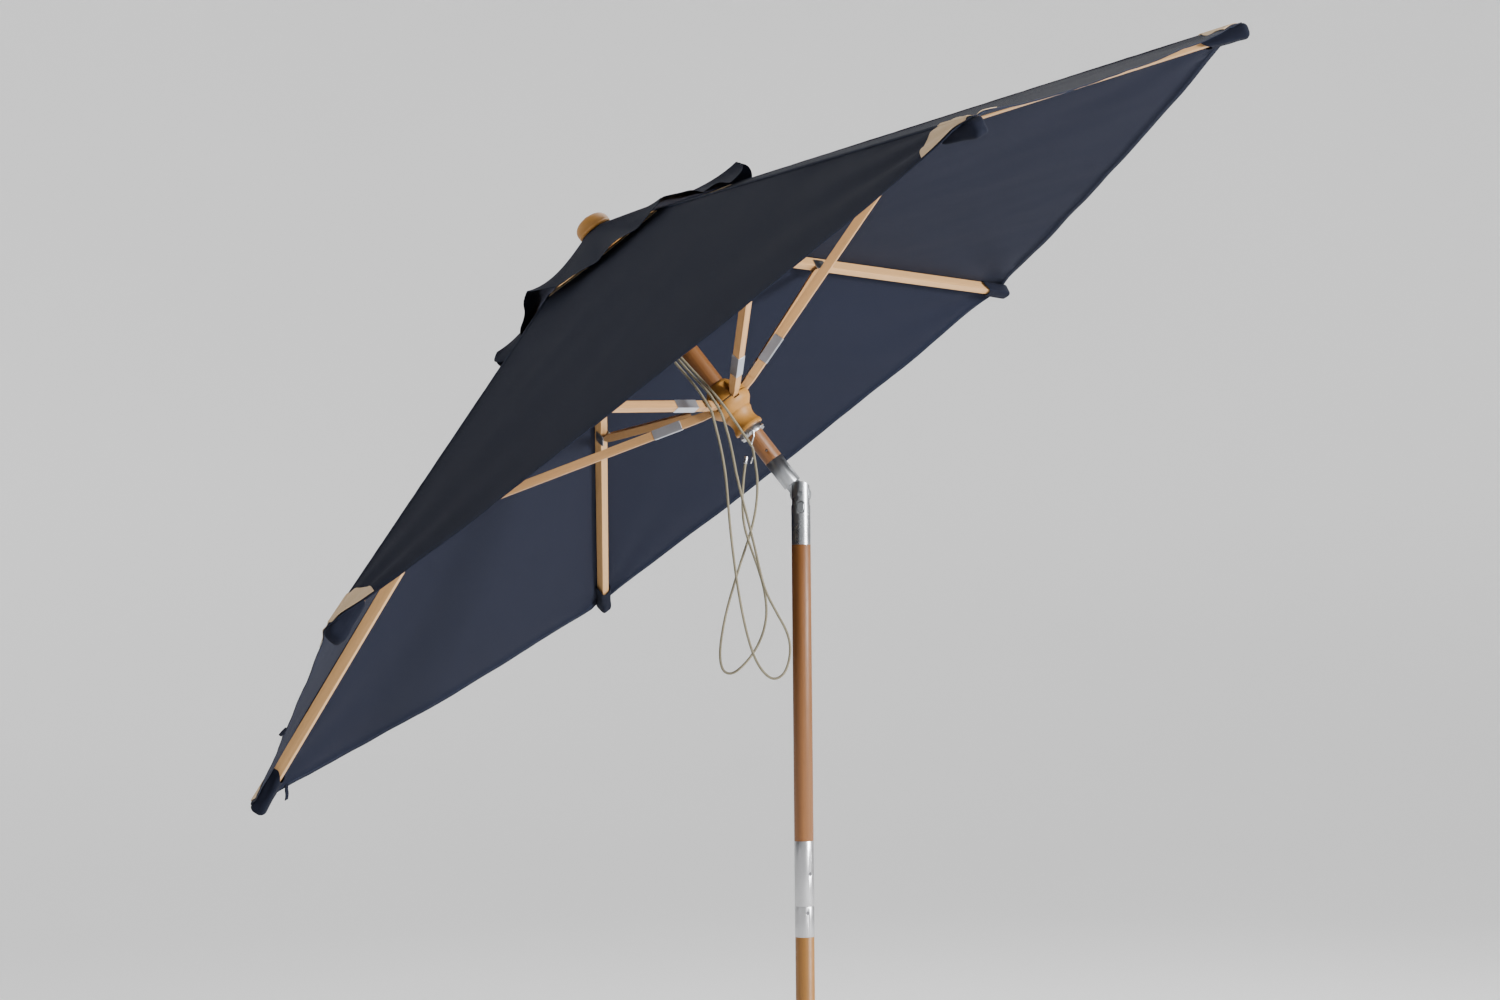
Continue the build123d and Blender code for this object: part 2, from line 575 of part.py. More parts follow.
# The vent cap is one shallow six-sided cone of cloth, clamped under the finial.
CAP_R, CAP_LIFT = 330.0, 9.0         # its rim stands this far above the canopy
CAP_MID, COLLAR_R, COLLAR_H = CAP_R * cos(HALF_TURN), 36.0, CAP_TOP - 2
CAP_RIM_H = APEX_H - CAP_MID * tan(PANEL_SLOPE) + CLOTH + CAP_LIFT
CAP_SLOPE = atan2(COLLAR_H - CAP_RIM_H, CAP_MID - COLLAR_R)
CAP_DROP = CLOTH / cos(CAP_SLOPE)
with BuildPart() as vent_cap:
    for drop, mode in ((0, Mode.ADD), (CAP_DROP, Mode.SUBTRACT)):
        with BuildSketch(HEAD.offset(CAP_RIM_H - drop)):
            RegularPolygon(CAP_R, SPOKES, rotation=SPOKE_TURN)
        with BuildSketch(HEAD.offset(COLLAR_H - drop)):
            RegularPolygon(COLLAR_R / cos(HALF_TURN), SPOKES, rotation=SPOKE_TURN)
        loft(mode=mode)
    with BuildSketch(HEAD.offset(CROWN_TOP + 0.2)):
        RegularPolygon(COLLAR_R / cos(HALF_TURN), SPOKES, rotation=SPOKE_TURN)
    extrude(amount=CAP_TOP - CROWN_TOP - 0.2)
save(vent_cap.part, "vent_cap")

# ---- hoist cord ----


def cord(name, points):
    """Tube of straight runs joined by arcs as large as the runs allow; prints what it is."""
    runs = [(b - a).length for a, b in zip(points, points[1:])]
    turns = [(b - a).get_angle(c - b) for a, b, c in zip(points, points[1:], points[2:])]
    radii = [0.45 * min(one, two) / tan(radians(turn / 2))
             for one, two, turn in zip(runs, runs[1:], turns)]
    with BuildPart() as tube:
        with BuildLine():
            route = FilletPolyline(*points, radius=radii)
        with BuildSketch(Plane(origin=points[0], z_dir=points[1] - points[0])):
            Circle(CORD_R)
        sweep(path=route)
    share = tube.part.volume / (pi * CORD_R**2 * route.length)
    print(f"{name}: {route.length:.0f} mm, tightest {min(radii):.1f} mm, "
          f"runs {min(runs):.0f} to {max(runs):.0f} mm, volume {share:.4f} of section x length")
    save(tube.part, name)


def world(points):
    return [PIVOT + Vector(*point) for point in points]


def leaning(points):
    return [head_point(*point) for point in points]


# Taut line: from the hook over the runner, up to the pulley, round it and down again.
hoist_route = leaning([
    (-17.7, -45, 129), (-15, -48, 168), (-13, -52, 205), (-12, -54, 240), (-14, -49, 275),
    (-17, -38, 312), (-21, -26, 360), (-25, -17, 425), (-27.2, -12.4, 510),
    (-27, -12.5, PULLEY_H + 12.5), (-27, 12.5, PULLEY_H + 12.6), (-27.3, 12.4, 520), (-28, 2, 440),
    (-28, -18, 380), (-26, -38, 328), (-22, -55, 284), (-19.5, -67, 250), (-25.2, -72, 215),
])
cord("hoist_line", hoist_route)

# Front loop: hangs free in front of the runner.
front_loop_route = world([
    (-149.8, -72, 155.4), (-140, -72, 126), (-130, -72, 84), (-121.5, -72.5, 36), (-110, -73, -12),
    (-98, -73, -60), (-86, -74, -108), (-77, -74, -152), (-66, -74, -194), (-44, -75, -236),
    (-24, -75, -272), (-18, -75, -302), (-22, -76, -332), (-33, -76, -356), (-53, -76, -364),
    (-73, -76, -348), (-90, -76, -318), (-104, -77, -270), (-114, -77, -220), (-122, -77, -170),
    (-128.5, -77, -118), (-134, -78, -66), (-138, -78, -14), (-142, -78, 36), (-150, -78, 84),
    (-160, -78, 126), (-168, -77, 157.4),
])
cord("cord_loop_front", front_loop_route)

# The standing end: from the front loop up to the knot on the pulley block.
standing_route = leaning([
    (-38.2, -77, 228), (-35, -75, 252), (-33, -66, 284), (-34, -51, 318), (-36, -34, 358),
    (-36.5, -17, 404), (-36, -5, 460), (-31, 0, 520), (-28, 0.2, PULLEY_H - 21),
])
cord("cord_standing_end", standing_route)

# Back loop: the free end, hanging behind the front loop, brought back to the hook.
back_loop_route = world([
    (-91.4, -45, 90.8), (-86, -44.5, 60), (-81.5, -44, 20), (-85, -43, -28), (-96.5, -43, -78),
    (-113, -43, -124), (-128, -43, -172), (-143, -44, -222), (-153, -45, -268), (-158, -46, -304),
    (-157, -47, -332), (-149.5, -48, -349), (-133, -49, -352), (-112, -49, -336),
    (-89, -49, -308), (-72, -50, -272), (-65, -50, -234), (-69, -51, -192), (-81, -52, -148),
    (-97, -52, -104), (-109.5, -52, -62), (-112, -52, -18), (-110, -51, 26), (-105.5, -50, 58),
])
cord("cord_loop_back", back_loop_route)

FERRULE_LONG, FERRULE_R = 15.0, 3.8
end_run = back_loop_route[-1] - back_loop_route[-2]
with BuildPart() as cord_end_ferrule:
    with BuildSketch(Plane(origin=back_loop_route[-1], z_dir=end_run)):
        Circle(FERRULE_R)
    extrude(amount=FERRULE_LONG)
    chamfer(cord_end_ferrule.edges(), 0.7)
save(cord_end_ferrule.part, "cord_end_ferrule")

# Wire hook over the ring's front peg.
HOOK_WIRE_R = 2.0
hook_at = head_point(0, 0, PEG_H) - V * 37.0
hook_points = [
    hook_at + Vector(x, 0, z)
    for x, z in [(-4, -7), (-4, 4), (4, 4), (4, -10), (-1, -26), (5, -42), (0, -56), (-2, -64)]
]
with BuildPart() as cord_hook:
    with BuildLine():
        hook_path = FilletPolyline(*hook_points, radius=[3.9, 3.9, 9, 9, 9, 9])
    with BuildSketch(Plane(origin=hook_points[0], z_dir=(0, 0, 1))):
        Circle(HOOK_WIRE_R)
    sweep(path=hook_path)
save(cord_hook.part, "cord_hook")
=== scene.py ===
"""Looks of the tilting garden parasol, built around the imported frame. Metres, +Z up."""

import json
from math import atan2, cos, exp, hypot, pi, radians, sin, tan

import bmesh
import bpy
import numpy as np
from mathutils import Matrix, Vector, noise


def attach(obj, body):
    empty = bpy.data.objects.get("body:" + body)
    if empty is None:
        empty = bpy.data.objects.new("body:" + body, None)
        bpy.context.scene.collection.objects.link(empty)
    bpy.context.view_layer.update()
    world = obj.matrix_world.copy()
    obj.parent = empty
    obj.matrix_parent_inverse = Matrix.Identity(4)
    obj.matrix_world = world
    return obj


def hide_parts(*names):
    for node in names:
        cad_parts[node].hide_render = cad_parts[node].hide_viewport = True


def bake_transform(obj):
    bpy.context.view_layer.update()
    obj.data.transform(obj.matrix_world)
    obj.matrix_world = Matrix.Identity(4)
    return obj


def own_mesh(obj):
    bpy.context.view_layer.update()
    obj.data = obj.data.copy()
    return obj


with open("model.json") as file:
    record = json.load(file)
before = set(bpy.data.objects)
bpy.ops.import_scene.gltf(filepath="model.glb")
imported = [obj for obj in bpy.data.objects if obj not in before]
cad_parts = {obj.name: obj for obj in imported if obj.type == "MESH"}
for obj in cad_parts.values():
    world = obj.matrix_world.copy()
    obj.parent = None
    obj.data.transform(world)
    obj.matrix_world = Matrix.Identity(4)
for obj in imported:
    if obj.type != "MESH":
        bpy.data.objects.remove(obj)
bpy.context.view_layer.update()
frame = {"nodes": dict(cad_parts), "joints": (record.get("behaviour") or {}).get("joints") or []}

# ---- the parasol's own directions and sizes ----
JOINTS = {joint["name"]: joint for joint in frame["joints"]}
PIVOT = Vector(JOINTS["tilt"]["pos_m"])
TILT = radians(JOINTS["tilt"]["range_deg"][1])
U = Vector((cos(TILT), 0, sin(TILT)))       # across the head, away from the lean
V = Vector((0, 1, 0))
A = Vector((-sin(TILT), 0, cos(TILT)))      # up the head's axis
LETTERS = "abcdef"
SPOKES = len(LETTERS)
SPOKE_TURN = radians(-3.84)
STEP = 2 * pi / SPOKES
CROWN_R, CROWN_H = 0.034, 0.650             # rib pivots
TIP_R, TIP_H = 1.252, 0.180                 # rib tips
RIB_LONG = hypot(TIP_R - CROWN_R, CROWN_H - TIP_H)
RIB_SLOPE = atan2(CROWN_H - TIP_H, TIP_R - CROWN_R)
RIB_TOP = 0.0146                            # from a rib's middle up to the cloth
STRUT_SLOPE = radians(17.46)
APEX_H = CROWN_H + CROWN_R * tan(RIB_SLOPE) + RIB_TOP / cos(RIB_SLOPE)   # the cloth's peak, if it went on
VENT_R, CANOPY_R = 0.260, 1.257             # corners of the vent opening and of the hem
SLOPE_PER_R = cos(STEP / 2) / cos(atan2(tan(RIB_SLOPE), cos(STEP / 2)))
CLOTH = 0.0008                              # thickness of the canopy cloth
HEM = 0.013                                 # width of the hem's fold
HEM_ROW = 0.010                             # its stitches, from the edge
SEAM_GAP = 0.0006                           # from a panel's edge to the middle of its rib
SEAM_HALF = 0.0062                          # half width of the felled seam
STITCH = 0.0054                             # from one seam stitch to the next
PATCH_BACK, PATCH_WIDE = 0.076, 0.095       # reach of a tip patch up its rib and along the hem
PATCH_UP = (0.0010, 0.0018)                 # its two faces, above the cloth's outer face


def leaning(points):
    """Points given across, towards the back and up the leaning head."""
    return [PIVOT + U * u + V * v + A * h for u, v, h in points]


def upright(points):
    return [PIVOT + Vector(point) for point in points]


def spoke_out(number):
    angle = SPOKE_TURN + STEP * number
    return U * cos(angle) + V * sin(angle)


# ---- camera ----
def add_camera():
    yaw, pitch, roll = radians(2.21), radians(5.57), radians(-0.62)
    forward = Vector((-sin(yaw) * cos(pitch), cos(yaw) * cos(pitch), sin(pitch)))
    level = Vector((cos(yaw), sin(yaw), 0))
    rise = level.cross(forward)
    right = level * cos(roll) + rise * sin(roll)
    up = rise * cos(roll) - level * sin(roll)
    matrix = Matrix((right, up, -forward)).transposed().to_4x4()
    matrix.translation = (0.23724, -4.55335, 1.43108)
    data = bpy.data.cameras.new("camera")
    data.sensor_width = 36
    data.lens = 55.40
    data.shift_x = -0.054
    data.shift_y = -0.0461
    data.clip_end = 100
    camera = bpy.data.objects.new("camera", data)
    camera.matrix_world = matrix
    bpy.context.collection.objects.link(camera)
    bpy.context.scene.camera = camera


# ---- node helpers ----
class Shader:
    """A material with a Principled surface and short calls for its nodes."""

    def __init__(self, name, colour, roughness):
        self.material = bpy.data.materials.new(name)
        self.material.use_nodes = True
        self.tree = self.material.node_tree
        self.surface = self.tree.nodes["Principled BSDF"]
        self.set(Roughness=roughness)
        self.surface.inputs["Base Color"].default_value = (*colour, 1)
        self.material.diffuse_color = (*colour, 1)

    def set(self, **values):
        for key, value in values.items():
            self.surface.inputs[key.replace("_", " ")].default_value = value

    def node(self, kind, values=(), **settings):
        made = self.tree.nodes.new(kind)
        for key, value in settings.items():
            setattr(made, key, value)
        for socket, value in dict(values).items():
            if isinstance(value, bpy.types.NodeSocket):
                self.tree.links.new(value, made.inputs[socket])
            else:
                made.inputs[socket].default_value = value
        return made

    def math(self, operation, a, b=0.0, c=0.0):
        return self.node("ShaderNodeMath", {0: a, 1: b, 2: c}, operation=operation).outputs[0]

    def mix(self, factor, a, b, blend="MIX"):
        made = self.node("ShaderNodeMix", data_type="RGBA", blend_type=blend)
        for socket, value in (("Factor_Float", factor), ("A_Color", a), ("B_Color", b)):
            target = next(s for s in made.inputs if s.identifier == socket)
            if isinstance(value, bpy.types.NodeSocket):
                self.tree.links.new(value, target)
            else:
                target.default_value = value
        return next(s for s in made.outputs if s.identifier == "Result_Color")

    def object_space(self, along, scale):
        """Object coordinates turned so that X runs along the piece, then scaled."""
        place = self.node("ShaderNodeTexCoord").outputs["Object"]
        turn = Vector(along).rotation_difference(Vector((1, 0, 0))).to_euler()
        turned = self.node("ShaderNodeMapping", {"Vector": place, "Rotation": turn})
        return self.scaled(turned.outputs[0], scale)

    def scaled(self, vector, scale):
        return self.node("ShaderNodeMapping", {"Vector": vector, "Scale": scale}).outputs[0]

    def noise(self, vector, detail=3.0, roughness=0.5, distortion=0.0):
        return self.node("ShaderNodeTexNoise", {
            "Vector": vector, "Scale": 1.0, "Detail": detail, "Roughness": roughness,
            "Distortion": distortion}).outputs[0]

    def ramp(self, factor, low, high):
        """Black up to low, then rising to white at high."""
        made = self.node("ShaderNodeValToRGB", {"Fac": factor})
        first, last = made.color_ramp.elements
        first.position, last.position = low, high
        return made.outputs[0]

    def bump(self, height, distance, strength):
        values = {"Height": height, "Distance": distance, "Strength": strength}
        return self.node("ShaderNodeBump", values).outputs[0]

    def colour(self, socket):
        self.tree.links.new(socket, self.surface.inputs["Base Color"])

    def roughness(self, socket):
        self.tree.links.new(socket, self.surface.inputs["Roughness"])

    def normal(self, socket):
        self.tree.links.new(socket, self.surface.inputs["Normal"])


def tone(colour, factor):
    return (colour[0] * factor, colour[1] * factor, colour[2] * factor, 1)


def wood(name, along, colour, figure=0.5, gloss=0.45, across=1.0):
    """Oiled straight-grained hardwood: growth bands, fibres and short dark pores along it."""
    made = Shader(name, colour, gloss)
    bands = made.noise(made.object_space(along, (0.9, 34 * across, 34 * across)), 2.0, 0.5, 1.2)
    fibre = made.noise(made.object_space(along, (7, 420, 420)), 4.0, 0.65)
    pores = made.noise(made.object_space(along, (60, 1500, 1500)), 1.0, 0.5)
    patch = made.noise(made.object_space(along, (1.6, 9, 9)), 2.0, 0.5)
    banded = made.math("SINE", made.math("MULTIPLY", bands, 24.0))
    banded = made.math("MULTIPLY_ADD", banded, 0.25 * figure, 0.5)
    grain = made.math("MULTIPLY_ADD", made.math("SUBTRACT", fibre, 0.5), 0.9 * figure, banded)
    grain = made.math("MULTIPLY_ADD", made.math("SUBTRACT", patch, 0.5), 0.8, grain)
    base = made.mix(grain, tone(colour, 0.72), tone(colour, 1.22))
    specks = made.ramp(pores, 0.60, 0.70)
    specks = made.math("MULTIPLY", specks, 0.35)
    made.colour(made.mix(specks, base, tone(colour, 0.45)))
    made.roughness(made.math("MULTIPLY_ADD", fibre, 0.25, gloss - 0.12))
    height = made.math("MULTIPLY_ADD", specks, -0.8, fibre)
    made.normal(made.bump(height, 0.0004, 0.55))
    made.set(Coat_Weight=0.03, Coat_Roughness=0.35, Specular_IOR_Level=0.35)
    return made.material


def metal(name, along, colour, gloss=0.32, lines=900.0, dents=0.00025):
    """Satin metal, brushed round the piece, with faint stains and fine handling marks."""
    made = Shader(name, colour, gloss)
    brushed = made.noise(made.object_space(along, (lines, 14, 14)), 3.0, 0.6)
    stains = made.noise(made.object_space(along, (22, 30, 30)), 4.0, 0.6)
    marks = made.ramp(made.noise(made.object_space(along, (35, 600, 600)), 2.0), 0.66, 0.72)
    shade = made.math("MULTIPLY_ADD", stains, 0.5, made.math("MULTIPLY", brushed, 0.5))
    base = made.mix(shade, tone(colour, 0.84), tone(colour, 1.12))
    made.colour(made.mix(made.math("MULTIPLY", marks, 0.25), base, tone(colour, 0.6)))
    made.roughness(made.math("MULTIPLY_ADD", stains, 0.22, gloss - 0.08))
    made.normal(made.bump(made.math("ADD", brushed, marks), dents, 0.25))
    made.set(Metallic=1.0, Anisotropic=0.35)
    return made.material


def plastic(name, colour, gloss=0.45):
    made = Shader(name, colour, gloss)
    grain = made.noise(made.object_space((0, 0, 1), (700, 700, 700)), 3.0)
    soft = made.noise(made.object_space((0, 0, 1), (40, 40, 40)), 2.0)
    made.colour(made.mix(soft, tone(colour, 0.8), tone(colour, 1.25)))
    made.roughness(made.math("MULTIPLY_ADD", grain, 0.2, gloss - 0.1))
    made.normal(made.bump(grain, 0.0002, 0.4))
    return made.material


def cloth(name, colour, thread=0.0011, sheen=0.015, fade=0.14):
    """Plain weave on the piece's own U and V, which are in metres along its threads."""
    made = Shader(name, colour, 0.86)
    place = made.node("ShaderNodeTexCoord").outputs["UV"]
    across = made.node("ShaderNodeSeparateXYZ", {0: place})
    turns = 2 * pi / thread
    warp = made.math("SINE", made.math("MULTIPLY", across.outputs[0], turns))
    weft = made.math("SINE", made.math("MULTIPLY", across.outputs[1], turns))
    weave = made.math("MULTIPLY", warp, weft)
    along_slubs = made.noise(made.scaled(place, (18, 700, 1)), 2.0)
    cross_slubs = made.noise(made.scaled(place, (700, 18, 1)), 2.0)
    wear = made.noise(made.object_space((0, 0, 1), (3.2, 3.2, 3.2)), 3.0, 0.55)
    threads = made.math("MULTIPLY", made.math("ADD", along_slubs, cross_slubs), 0.5)
    shade = made.math("MULTIPLY_ADD", weave, 0.10, threads)
    shade = made.math("MULTIPLY_ADD", made.math("SUBTRACT", wear, 0.5), 2.5 * fade, shade)
    made.colour(made.mix(shade, tone(colour, 1 - 1.6 * fade), tone(colour, 1 + 1.6 * fade)))
    made.roughness(made.math("MULTIPLY_ADD", threads, 0.12, 0.80))
    made.normal(made.bump(made.math("MULTIPLY_ADD", threads, 1.2, weave), 0.00018, 0.5))
    made.set(Sheen_Weight=sheen, Sheen_Roughness=0.45, Specular_IOR_Level=0.07)
    return made.material


def braid(name, colour):
    """Braided cord: U runs along it in metres, V once round it."""
    made = Shader(name, colour, 0.8)
    place = made.node("ShaderNodeSeparateXYZ", {0: made.node("ShaderNodeTexCoord").outputs["UV"]})
    along = made.math("MULTIPLY", place.outputs[0], 2 * pi / 0.0042)
    around = made.math("MULTIPLY", place.outputs[1], 2 * pi * 5)
    left = made.math("SINE", made.math("ADD", along, around))
    right = made.math("SINE", made.math("SUBTRACT", along, around))
    strands = made.math("MAXIMUM", left, right)
    fuzz = made.noise(made.object_space((0, 0, 1), (900, 900, 900)), 2.0)
    soil = made.noise(made.object_space((0, 0, 1), (14, 14, 14)), 3.0)
    shade = made.math("MULTIPLY_ADD", strands, 0.28, made.math("MULTIPLY", fuzz, 0.5))
    shade = made.math("MULTIPLY_ADD", made.math("SUBTRACT", soil, 0.5), 0.6, shade)
    made.colour(made.mix(shade, tone(colour, 0.55), tone(colour, 1.3)))
    made.normal(made.bump(made.math("MULTIPLY_ADD", fuzz, 0.3, strands), 0.0005, 0.7))
    made.set(Sheen_Weight=0.25, Sheen_Roughness=0.5)
    return made.material


# ---- materials ----
NAVY = (0.0108, 0.0128, 0.0235)
BEIGE = (0.54, 0.40, 0.255)
navy_cloth = cloth("navy_canopy_cloth", NAVY)
navy_tape = cloth("navy_tape", tone(NAVY, 0.9)[:3], thread=0.0016, fade=0.10)
navy_pocket = cloth("navy_pocket_cloth", tone(NAVY, 0.75)[:3], thread=0.0014, fade=0.12)
beige_cloth = cloth("beige_reinforcing_cloth", BEIGE, thread=0.0015, fade=0.10)
navy_thread = cloth("navy_sewing_thread", (0.030, 0.055, 0.12), thread=0.0007, fade=0.10)
beige_braid = braid("beige_braided_cord", (0.23, 0.20, 0.125))


# ---- mesh helpers ----
def add_mesh(name, vertices, faces, material, uvs=None, sharp=50):
    """Links a mesh object whose faces all look outwards. uvs holds one (u, v) per vertex."""
    mesh = bpy.data.meshes.new(name)
    mesh.from_pydata([tuple(v) for v in vertices], [], [tuple(f) for f in faces])
    if uvs is not None:
        layer = mesh.uv_layers.new(name="UVMap")
        corners = np.zeros(len(mesh.loops), dtype=np.int32)
        mesh.loops.foreach_get("vertex_index", corners)
        layer.data.foreach_set("uv", np.asarray(uvs, np.float32)[corners].ravel())
    solid = bmesh.new()
    solid.from_mesh(mesh)
    bmesh.ops.recalc_face_normals(solid, faces=solid.faces)
    solid.to_mesh(mesh)
    solid.free()
    mesh.polygons.foreach_set("use_smooth", np.ones(len(mesh.polygons), dtype=bool))
    mesh.set_sharp_from_angle(angle=radians(sharp))
    mesh.materials.append(material)
    made = bpy.data.objects.new(name, mesh)
    bpy.context.collection.objects.link(made)
    return made


def add_sheet(name, inner, outer, uvs, material, sharp=50):
    """Closed thin sheet between two grids of points, each (rows, columns, 3)."""
    rows, columns = inner.shape[:2]
    count = rows * columns
    vertices = np.vstack([inner.reshape(-1, 3), outer.reshape(-1, 3)])
    index = np.arange(count).reshape(rows, columns)
    quads = np.stack([index[:-1, :-1], index[:-1, 1:], index[1:, 1:], index[1:, :-1]], -1).reshape(-1, 4)
    edge = np.concatenate([index[0, :-1], index[:-1, -1], index[-1, :0:-1], index[:0:-1, 0]])
    following = np.roll(edge, -1)
    rim = np.stack([edge, following, following + count, edge + count], -1)
    faces = np.vstack([quads[:, ::-1], quads + count, rim])
    flat = uvs.reshape(-1, 2)
    return add_mesh(name, vertices, faces.tolist(), material, np.vstack([flat, flat]), sharp)


def add_dashes(name, dashes, material, wide=0.0007, long=0.0034):
    """Short sewing stitches: (centre, direction, normal) for each, as one piece."""
    vertices, faces = [], []
    for centre, along, normal in dashes:
        side = along.cross(normal).normalized()
        start = len(vertices)
        vertices += [
            centre - along * long / 2, centre + along * long / 2,
            centre - side * wide / 2, centre + side * wide / 2,
            centre + normal * wide * 0.6, centre - normal * wide * 0.6,
        ]
        for one, two in ((2, 4), (4, 3), (3, 5), (5, 2)):
            faces += [(start, start + one, start + two), (start + 1, start + two, start + one)]
    return add_mesh(name, vertices, faces, material, [(v.x, v.z) for v in vertices], 80)


def nurbs_line(points, spacing):
    """Evenly spaced points on the smooth line whose control points are a cord's route."""
    curve = bpy.data.curves.new("route", "CURVE")
    curve.dimensions = "3D"
    curve.resolution_u = 24
    spline = curve.splines.new("NURBS")
    spline.points.add(len(points) - 1)
    for control, point in zip(spline.points, points):
        control.co = (*point, 1)
    spline.order_u = 3
    spline.use_endpoint_u = True
    holder = bpy.data.objects.new("route", curve)
    mesh = bpy.data.meshes.new_from_object(holder)
    line = np.array([v.co for v in mesh.vertices], float)
    bpy.data.objects.remove(holder)
    bpy.data.curves.remove(curve)
    bpy.data.meshes.remove(mesh)
    reach = np.concatenate([[0], np.cumsum(np.linalg.norm(np.diff(line, axis=0), axis=1))])
    wanted = np.linspace(0, reach[-1], max(8, round(reach[-1] / spacing)))
    return np.stack([np.interp(wanted, reach, line[:, i]) for i in range(3)], -1), reach[-1]


def tube_frames(line):
    """Two unit normals at every point of a line, with no twist from one point to the next."""
    tangents = np.gradient(line, axis=0)
    tangents /= np.linalg.norm(tangents, axis=1)[:, None]
    normal = np.cross(tangents[0], (0.31, 0.87, 0.38))
    normals = []
    for tangent in tangents:
        normal = normal - tangent * (normal @ tangent)
        normal /= np.linalg.norm(normal)
        normals.append(normal)
    normals = np.array(normals)
    return normals, np.cross(tangents, normals)


def add_tube(name, line, radius, material, around=14, relief=None, sharp=60):
    """Closed round tube along a line; relief(distance, turn) scales its radius."""
    first, second = tube_frames(line)
    reach = np.concatenate([[0], np.cumsum(np.linalg.norm(np.diff(line, axis=0), axis=1))])
    turns = np.arange(around + 1) / around
    grow = np.ones((len(line), around + 1))
    if relief is not None:
        grow = relief(reach[:, None], turns[None, :] * 2 * pi)
    circle = (first[:, None] * np.cos(turns * 2 * pi)[None, :, None]
              + second[:, None] * np.sin(turns * 2 * pi)[None, :, None])
    rings = line[:, None] + circle * radius * grow[..., None]
    uvs = np.stack(np.broadcast_arrays(reach[:, None], turns[None, :]), -1)
    vertices = rings[:, :-1].reshape(-1, 3)
    rows = len(line)
    index = np.arange(rows * around).reshape(rows, around)
    wrapped = np.concatenate([index, index[:, :1]], axis=1)
    quads = np.stack([wrapped[:-1, :-1], wrapped[1:, :-1], wrapped[1:, 1:], wrapped[:-1, 1:]], -1)
    faces = quads.reshape(-1, 4).tolist() + [index[0].tolist(), index[-1].tolist()]
    made = add_mesh(name, vertices, faces, material, None, sharp)
    layer = made.data.uv_layers.new(name="UVMap")
    for polygon in made.data.polygons:
        corners = [made.data.loops[i].vertex_index for i in polygon.loop_indices]
        columns = [c % around for c in corners]
        seam = max(columns) - min(columns) > around // 2 and len(corners) == 4
        for loop, corner, column in zip(polygon.loop_indices, corners, columns):
            column = around if seam and column == 0 else column
            layer.data[loop].uv = uvs[corner // around, column]
    return made


# ---- hoist cord ----
CORD = 0.005
HOIST_ROUTE = leaning([
    (-0.0177, -0.045, 0.129), (-0.015, -0.048, 0.168), (-0.013, -0.052, 0.205),
    (-0.012, -0.054, 0.240), (-0.014, -0.049, 0.275), (-0.017, -0.038, 0.312),
    (-0.021, -0.026, 0.360), (-0.025, -0.017, 0.425), (-0.0272, -0.0124, 0.510),
    (-0.027, -0.0125, 0.5965), (-0.027, 0.0125, 0.5966), (-0.0273, 0.0124, 0.520),
    (-0.028, 0.002, 0.440), (-0.028, -0.018, 0.380), (-0.026, -0.038, 0.328),
    (-0.022, -0.055, 0.284), (-0.0195, -0.067, 0.250), (-0.0252, -0.072, 0.215),
])
FRONT_LOOP_ROUTE = upright([
    (-0.1498, -0.072, 0.1554), (-0.140, -0.072, 0.126), (-0.130, -0.072, 0.084),
    (-0.1215, -0.0725, 0.036), (-0.110, -0.073, -0.012), (-0.098, -0.073, -0.060),
    (-0.086, -0.074, -0.108), (-0.077, -0.074, -0.152), (-0.066, -0.074, -0.194),
    (-0.044, -0.075, -0.236), (-0.024, -0.075, -0.272), (-0.018, -0.075, -0.302),
    (-0.022, -0.076, -0.332), (-0.033, -0.076, -0.356), (-0.053, -0.076, -0.364),
    (-0.073, -0.076, -0.348), (-0.090, -0.076, -0.318), (-0.104, -0.077, -0.270),
    (-0.114, -0.077, -0.220), (-0.122, -0.077, -0.170), (-0.1285, -0.077, -0.118),
    (-0.134, -0.078, -0.066), (-0.138, -0.078, -0.014), (-0.142, -0.078, 0.036),
    (-0.150, -0.078, 0.084), (-0.160, -0.078, 0.126), (-0.168, -0.077, 0.1574),
])
STANDING_ROUTE = leaning([
    (-0.0382, -0.077, 0.228), (-0.035, -0.075, 0.252), (-0.033, -0.066, 0.284),
    (-0.034, -0.051, 0.318), (-0.036, -0.034, 0.358), (-0.0365, -0.017, 0.404),
    (-0.036, -0.005, 0.460), (-0.031, 0, 0.520), (-0.028, 0.0002, 0.563),
])
BACK_LOOP_ROUTE = upright([
    (-0.0914, -0.045, 0.0908), (-0.086, -0.0445, 0.060), (-0.0815, -0.044, 0.020),
    (-0.085, -0.043, -0.028), (-0.0965, -0.043, -0.078), (-0.113, -0.043, -0.124),
    (-0.128, -0.043, -0.172), (-0.143, -0.044, -0.222), (-0.153, -0.045, -0.268),
    (-0.158, -0.046, -0.304), (-0.157, -0.047, -0.332), (-0.1495, -0.048, -0.349),
    (-0.133, -0.049, -0.352), (-0.112, -0.049, -0.336), (-0.089, -0.049, -0.308),
    (-0.072, -0.050, -0.272), (-0.065, -0.050, -0.234), (-0.069, -0.051, -0.192),
    (-0.081, -0.052, -0.148), (-0.097, -0.052, -0.104), (-0.1095, -0.052, -0.062),
    (-0.112, -0.052, -0.018), (-0.110, -0.051, 0.026), (-0.1055, -0.050, 0.058),
])


def braided(reach, turn):
    """Eight crossing strands stand a little proud of the cord."""
    left = np.abs(np.cos((reach * 2 * pi / 0.0085) + 2 * turn))
    right = np.abs(np.cos((reach * 2 * pi / 0.0085) - 2 * turn))
    return 0.91 + 0.12 * np.maximum(left, right)


